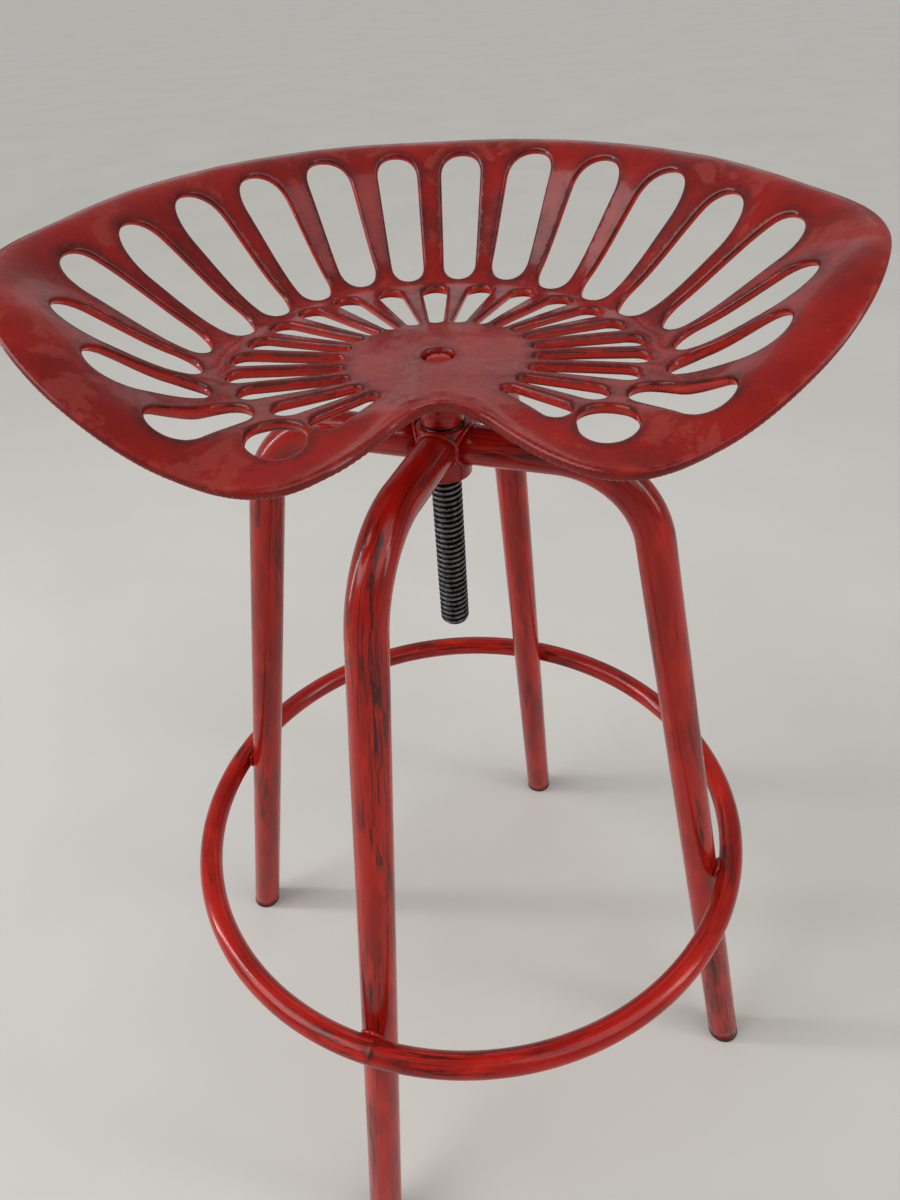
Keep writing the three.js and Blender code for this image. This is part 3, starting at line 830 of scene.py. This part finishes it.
def build_legs():
    columns = 64
    phi = TAU * np.arange(columns) / columns
    facing_ring = np.clip(np.cos(phi), 0, 1)
    for k, name in enumerate(LEGS):
        stations = leg_stations()
        verts, along, corner = [], [], []
        length = 0.0
        for i, (x, z, a) in enumerate(stations):
            if i:
                length += math.hypot(x - stations[i - 1][0], z - stations[i - 1][1])
            tangent = np.array([math.cos(a), 0, -math.sin(a)])
            normal = np.array([math.sin(a), 0, math.cos(a)])
            ring = LEG_R * (np.cos(phi)[:, None] * normal + np.sin(phi)[:, None] * np.array([0, 1, 0]))
            points = np.array([x, 0, z]) + ring
            if i == 0:
                points[:, 0] = np.sqrt(np.maximum(1, (HUB_R + 0.3) ** 2 - points[:, 1] ** 2))
            if i == len(stations) - 1:
                points = points + tangent * ((points[:, 2] - GLIDE_T) / math.sin(a))[:, None]
            verts.append(points)
            paint_run = np.full(columns, length + 700 * k)
            along.append(np.column_stack([LEG_R * np.cos(phi), LEG_R * np.sin(phi), paint_run]))
            # corner mark: painted shade on the side facing the footrest ring near it, darker paint near
            # the hub and round the outside of the bend
            at_ring = math.exp(-(((z - RING_Z) / 17) ** 2)) if i > 40 else 0
            at_hub = math.exp(-(((x - LEG_START) / 16) ** 2)) if i < 20 else 0
            outer_bend = 0.45 * math.exp(-(((i - 26) / 12) ** 2)) * (0.5 + 0.5 * np.cos(phi))
            corner.append(np.clip(0.6 * at_ring * facing_ring + 0.1 * at_hub + outer_bend, 0, 1))
        verts = np.concatenate(verts)
        marks = {"along": np.concatenate(along) * MM, "corner": np.concatenate(corner)}
        faces = [f[::-1] for f in capped(len(stations), columns)]
        place = spun(verts, LEG_AZIMUTH + 90 * k)
        piece("leg_tube_" + name, place, faces, "base", TUBE_RED, ["leg_" + name], marks)


def build_glides():
    for k, name in enumerate(LEGS):
        top = GLIDE_T - 0.3
        wide = LEG_R + 0.25
        profile = [(0.02, 0), (LEG_R - 0.3, 0), (wide, 0.8), (wide, top), (0.02, top)]
        profile = softened(profile, 0.8, 4, False)
        verts, faces = turned(profile, 56, closed=False)
        verts = verts + np.array([leg_radius_at(GLIDE_T / 2), 0, 0])
        place = spun(verts, LEG_AZIMUTH + 90 * k)
        node = "foot_glide_" + name
        piece("foot_glide_moulded_" + name, place, faces, "base", PLASTIC, [node])


def build_ring():
    """One bent tube, its ends butt-welded in front of the front leg, with a vent hole below."""
    columns = 56
    seam = math.radians(LEG_AZIMUTH + 270 + 1.2)
    vent = (math.radians(LEG_AZIMUTH + 45) - seam) % TAU
    theta = [*np.linspace(0, TAU, 300, endpoint=False)]
    theta += [*np.linspace(vent - 0.022, vent + 0.022, 22), *np.linspace(-0.02, 0.02, 14) % TAU]
    theta = np.unique(np.round(theta, 6))
    phi = TAU * np.arange(columns) / columns
    tt, pp = np.meshgrid(theta, phi, indexing="ij")
    off = (tt + math.pi) % TAU - math.pi
    s = off * RING_RADIUS
    bead = 0.5 * np.exp(-((s / 1.5) ** 2)) * (1 + 0.25 * np.sin(9 * pp) + 0.2 * np.sin(4 * pp + 1))
    r = RING_R - 0.05 + bead * 0.5
    hole = np.hypot((tt - vent) * RING_RADIUS, RING_R * ((pp + math.pi / 2 + math.pi) % TAU - math.pi))
    r = r - 4.5 * (1 - smoothstep(hole, 1.9, 2.6))
    reach = RING_RADIUS + r * np.cos(pp)
    angle = tt + seam
    height = RING_Z + r * np.sin(pp)
    verts = np.stack([reach * np.cos(angle), reach * np.sin(angle), height], -1).reshape(-1, 3)
    corner = np.zeros_like(tt)
    # painted shade on the ring's inner side where it passes each leg, and a dark line at the welded seam
    for k in range(4):
        d = (tt + seam - math.radians(LEG_AZIMUTH + 90 * k) + math.pi) % TAU - math.pi
        corner = corner + np.exp(-((d * RING_RADIUS / 17) ** 2)) * (0.55 - 0.45 * np.cos(pp))
    corner = np.clip(corner + 0.8 * np.exp(-((s / 3.5) ** 2)), 0, 1)
    paint_run = tt * RING_RADIUS + 4000
    along = np.stack([RING_R * np.cos(pp), RING_R * np.sin(pp), paint_run], -1).reshape(-1, 3)
    marks = {"along": along * MM, "corner": corner.ravel()}
    faces = [f[::-1] for f in lattice(len(theta), columns, True)]
    piece("footrest_tube", verts, faces, "base", TUBE_RED, ["footrest_ring"], marks)


def build_hub():
    sleeve = [(HUB_BORE_R, HUB_BOTTOM), (HUB_R, HUB_BOTTOM), (HUB_R, HUB_TOP), (HUB_BORE_R, HUB_TOP)]
    verts, faces = turned(softened(sleeve, 1.3), 88)
    marks = {"corner": near_corner(verts, (HUB_BOTTOM, HUB_TOP), 3)}
    piece("hub_sleeve_turned", verts, faces, "base", PART_RED, ["hub_sleeve"], marks)
    low, high = HUB_BOTTOM + 0.5, HUB_TOP - 0.5
    nut = [(10.35, low), (12.3, low), (12.3, high), (10.35, high)]
    verts, faces = turned(softened(nut, 0.5), 72)
    piece("hub_nut_turned", verts, faces, "base", ZINC, ["hub_nut"])


def build_hub_welds():
    """A bead where each leg meets the hub."""
    stations, columns = 160, 14
    a = TAU * np.arange(stations) / stations
    size = 1.6 + 0.05 * np.sin(34 * a) + 0.12 * np.sin(5 * a + 1)
    y, z = (LEG_R + 0.3) * np.sin(a), (LEG_R + 0.3) * np.cos(a)
    x = np.sqrt(np.maximum(HUB_R**2 - y**2, 60)) + 0.4
    path = np.stack([x, y, LEG_RUN_Z + z], -1)
    forward = np.roll(path, -1, 0) - np.roll(path, 1, 0)
    forward /= np.linalg.norm(forward, axis=1, keepdims=True)
    out = np.stack([0 * a, np.sin(a), np.cos(a)], -1)
    side = np.cross(forward, out)
    side /= np.linalg.norm(side, axis=1, keepdims=True)
    out = np.cross(side, forward)
    b = TAU * np.arange(columns) / columns
    offset = np.cos(b)[None, :, None] * out[:, None] + np.sin(b)[None, :, None] * side[:, None]
    verts = (path[:, None] + size[:, None, None] * offset).reshape(-1, 3)
    faces = lattice(stations, columns, True)
    for k, name in enumerate(LEGS):
        marks = {"corner": np.full(len(verts), 0.25)}
        place = spun(verts, LEG_AZIMUTH + 90 * k)
        piece("hub_weld_" + name, place, faces, "base", PART_RED, attributes=marks)


def build_ring_welds():
    """A lumpy fillet in the corner where the footrest crosses each leg."""
    rows, columns = 28, 40
    u = np.linspace(0.02, math.pi - 0.02, rows)
    v = TAU * np.arange(columns) / columns
    uu, vv = np.meshgrid(u, v, indexing="ij")
    unit = np.stack([np.sin(uu) * np.cos(vv), np.sin(uu) * np.sin(vv), np.cos(uu)], -1).reshape(-1, 3)
    touch = leg_radius_at(RING_Z) + (LEG_R + 0.2) / math.cos(LEG_TILT)
    for k, name in enumerate(LEGS):
        lump = unit * np.array([3.2, 8.6, 7.0])
        lump = lump * (1 + 0.05 * ripple(lump * 3, 12, 20 + k))[:, None]
        verts = lump + np.array([touch, 0, RING_Z])
        marks = {"corner": np.full(len(verts), 0.45)}
        faces = capped(rows, columns)
        place = spun(verts, LEG_AZIMUTH + 90 * k)
        node = "footrest_weld_" + name
        faces = [f[::-1] for f in faces]
        piece(node, place, faces, "base", PART_RED, attributes=marks)


build_legs()
build_glides()
build_ring()
build_hub()
build_hub_welds()
build_ring_welds()

# ---------------------------------------------------------------- floor, light and camera


def floor_paint():
    s = Shader("pale_floor")
    here = s.place()
    tone = s.band(s.noise(here, 3, 3), 0.35, 0.65)
    s.set("Base Color", s.mix(tone, (0.625, 0.615, 0.59, 1), (0.65, 0.64, 0.615, 1)))
    s.set("Roughness", 0.55)
    return s.material


def build_stage():
    mesh = bpy.data.meshes.new("floor")
    size = 40
    corners = [(-size, -size, 0), (size, -size, 0), (size, size, 0), (-size, size, 0)]
    mesh.from_pydata(corners, [], [(0, 1, 2, 3)])
    mesh.materials.append(floor_paint())
    floor = bpy.data.objects.new("floor", mesh)
    bpy.context.scene.collection.objects.link(floor)
    world = bpy.data.worlds.new("studio")
    world.use_nodes = True
    background = world.node_tree.nodes["Background"]
    background.inputs[0].default_value = (1.0, 0.99, 0.97, 1)
    background.inputs[1].default_value = 0.27
    bpy.context.scene.world = world
    bpy.context.scene.view_settings.view_transform = "Standard"


def soft_light(name, place, target, size, power, colour=(1, 1, 1)):
    data = bpy.data.lights.new(name, "AREA")
    data.shape = "RECTANGLE"
    data.size, data.size_y = size
    data.energy = power
    data.color = colour
    light = bpy.data.objects.new(name, data)
    light.location = place
    light.visible_camera = False
    light.rotation_euler = (Vector(target) - Vector(place)).to_track_quat("-Z", "Y").to_euler()
    bpy.context.scene.collection.objects.link(light)


def wide_light(name, toward, strength, spread, colour):
    """Even light from far away, as soft as a bright patch of sky that many degrees across."""
    data = bpy.data.lights.new(name, "SUN")
    data.energy = strength
    data.angle = math.radians(spread)
    data.color = colour
    light = bpy.data.objects.new(name, data)
    light.rotation_euler = Vector(toward).to_track_quat("Z", "Y").to_euler()
    bpy.context.scene.collection.objects.link(light)


def build_camera():
    """Close in front of the stool and a little above the seat, looking down, rolled a little."""
    pitch, roll, turn = math.radians(36.99), math.radians(-3.93), math.radians(0.66)
    ahead = Vector((0, math.cos(pitch), -math.sin(pitch)))
    right = Vector((1, 0, 0))
    up = Vector((0, math.sin(pitch), math.cos(pitch)))
    tilted_right = right * math.cos(roll) + up * math.sin(roll)
    tilted_up = up * math.cos(roll) - right * math.sin(roll)
    matrix = Matrix.Identity(4)
    for column, axis in enumerate((tilted_right, tilted_up, -ahead)):
        for row in range(3):
            matrix[row][column] = axis[row]
    matrix.translation = Vector((-0.0029, -0.5051, 0.8322))
    data = bpy.data.cameras.new("camera")
    data.sensor_width = 36
    data.lens = 27.0
    data.clip_start = 0.02
    data.clip_end = 200
    camera = bpy.data.objects.new("camera", data)
    camera.matrix_world = Matrix.Rotation(turn, 4, "Z") @ matrix
    bpy.context.scene.collection.objects.link(camera)
    bpy.context.scene.camera = camera


build_stage()
wide_light("sky_left", (-0.90, -0.22, 0.95), 1.35, 42, (1.0, 0.99, 0.97))
wide_light("sky_front", (0.70, -0.55, 1.05), 0.75, 50, (1.0, 0.98, 0.95))
soft_light("window", (-1.55, 0.15, 1.05), (0, 0, 0.45), (0.14, 1.3), 8, (1.0, 0.99, 0.97))
soft_light("window_right", (1.5, -0.55, 1.15), (0, 0, 0.45), (0.30, 0.9), 4, (1.0, 0.98, 0.95))
soft_light("pale_panel_behind", (0, 1.35, 1.2), (0, 0, 0.64), (1.7, 0.5), 1.1)
build_camera()
